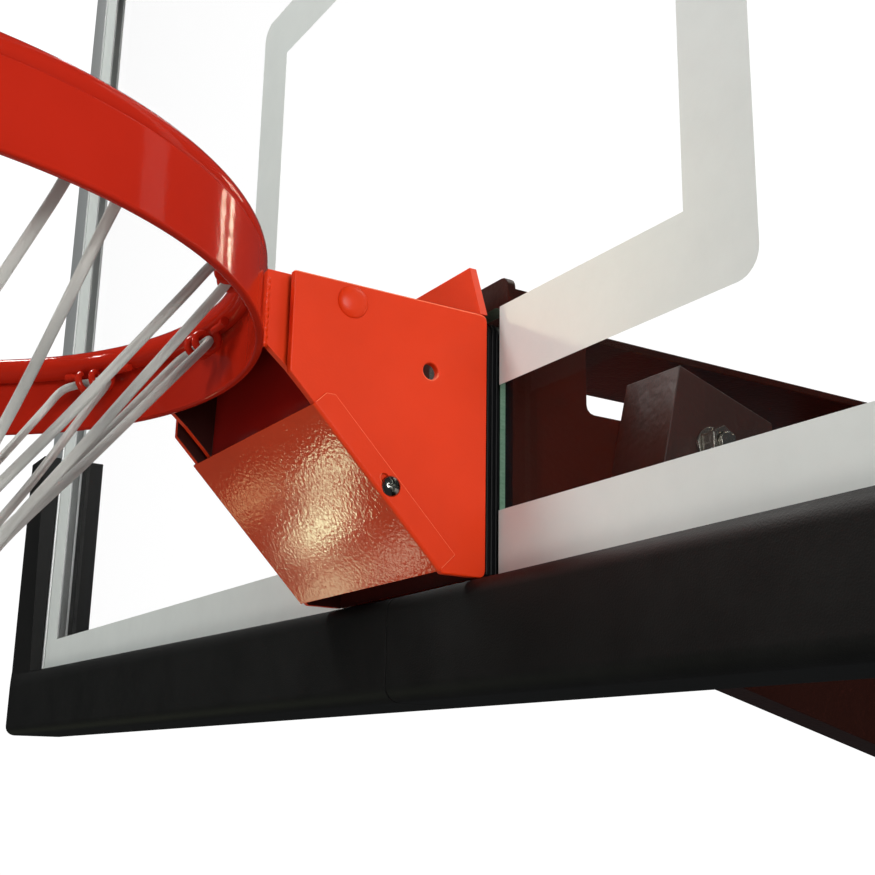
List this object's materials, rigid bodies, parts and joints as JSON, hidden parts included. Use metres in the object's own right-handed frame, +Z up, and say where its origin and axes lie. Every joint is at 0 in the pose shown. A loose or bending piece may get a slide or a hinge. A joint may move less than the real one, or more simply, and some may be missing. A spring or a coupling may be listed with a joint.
{
  "type": "basketball hoop",
  "caption": "Breakaway rim with net on a padded, framed glass board, with the rear steel bracket that carries it.",
  "frame": {"origin": "middle of the rear mounting plate's back face", "axes": "+Z up, -Y from the mounting plate out through the board to the ring, +X to the right seen from the court"},
  "size_m": [1.871, 1.1403, 1.2889],
  "materials": {
    "glass": "clear, polished",
    "aluminium": "brushed",
    "rubber": "satin",
    "pad": "fine grain",
    "orange_coat": "orange powder coat",
    "red_coat": "gloss",
    "brown_coat": "dark brown powder coat",
    "zinc": "zinc plated",
    "cord": "braided"
  },
  "bodies": {
    "board": {"glass_pane": "glass", "frame_bottom": "aluminium", "frame_top": "aluminium", "frame_left": "aluminium", "frame_right": "aluminium", "pad_left": "pad", "pad_right": "pad", "notch_gasket": "rubber", "back_plate": "orange_coat", "cheek_left": "orange_coat", "cheek_right": "orange_coat", "cover_plate": "orange_coat", "pivot_pin": "orange_coat", "cover_screw_left": "zinc", "cover_screw_right": "zinc", "rim_bolt_1": "zinc", "rim_bolt_2": "zinc", "rim_bolt_3": "zinc", "rim_bolt_4": "zinc", "rim_nut_1": "zinc", "rim_nut_2": "zinc", "rim_nut_3": "zinc", "rim_nut_4": "zinc", "rear_channel": "brown_coat", "frame_lug_left": "brown_coat", "frame_lug_right": "brown_coat", "lug_bolt_left_1": "zinc", "lug_bolt_left_2": "zinc", "lug_bolt_right_1": "zinc", "lug_bolt_right_2": "zinc", "arm_bracket_left": "brown_coat", "arm_bracket_right": "brown_coat", "upper_arm_left": "brown_coat", "upper_arm_right": "brown_coat", "arm_bolt_left": "zinc", "arm_bolt_right": "zinc", "arm_washer_left": "zinc", "arm_washer_right": "zinc", "arm_nut_left": "zinc", "arm_nut_right": "zinc", "tie_plate": "brown_coat", "lower_brace": "brown_coat", "mount_plate": "brown_coat"},
    "rim": {"ring_rod": "red_coat", "ring_band": "red_coat", "neck_bracket": "orange_coat", "net": "cord", "net_hook_01": "red_coat", "net_hook_02": "red_coat", "net_hook_03": "red_coat", "net_hook_04": "red_coat", "net_hook_05": "red_coat", "net_hook_06": "red_coat", "net_hook_07": "red_coat", "net_hook_08": "red_coat", "net_hook_09": "red_coat", "net_hook_10": "red_coat", "net_hook_11": "red_coat", "net_hook_12": "red_coat"}
  },
  "joints": [
    {"name": "rim_breakaway", "type": "hinge", "parent": "board", "child": "rim", "pos_m": [0, -0.6104, 0.1158], "axis": [1, 0, 0], "range_deg": [0, 10], "stiffness_Nm_per_rad": 2500, "springref_deg": -11.46}
  ]
}
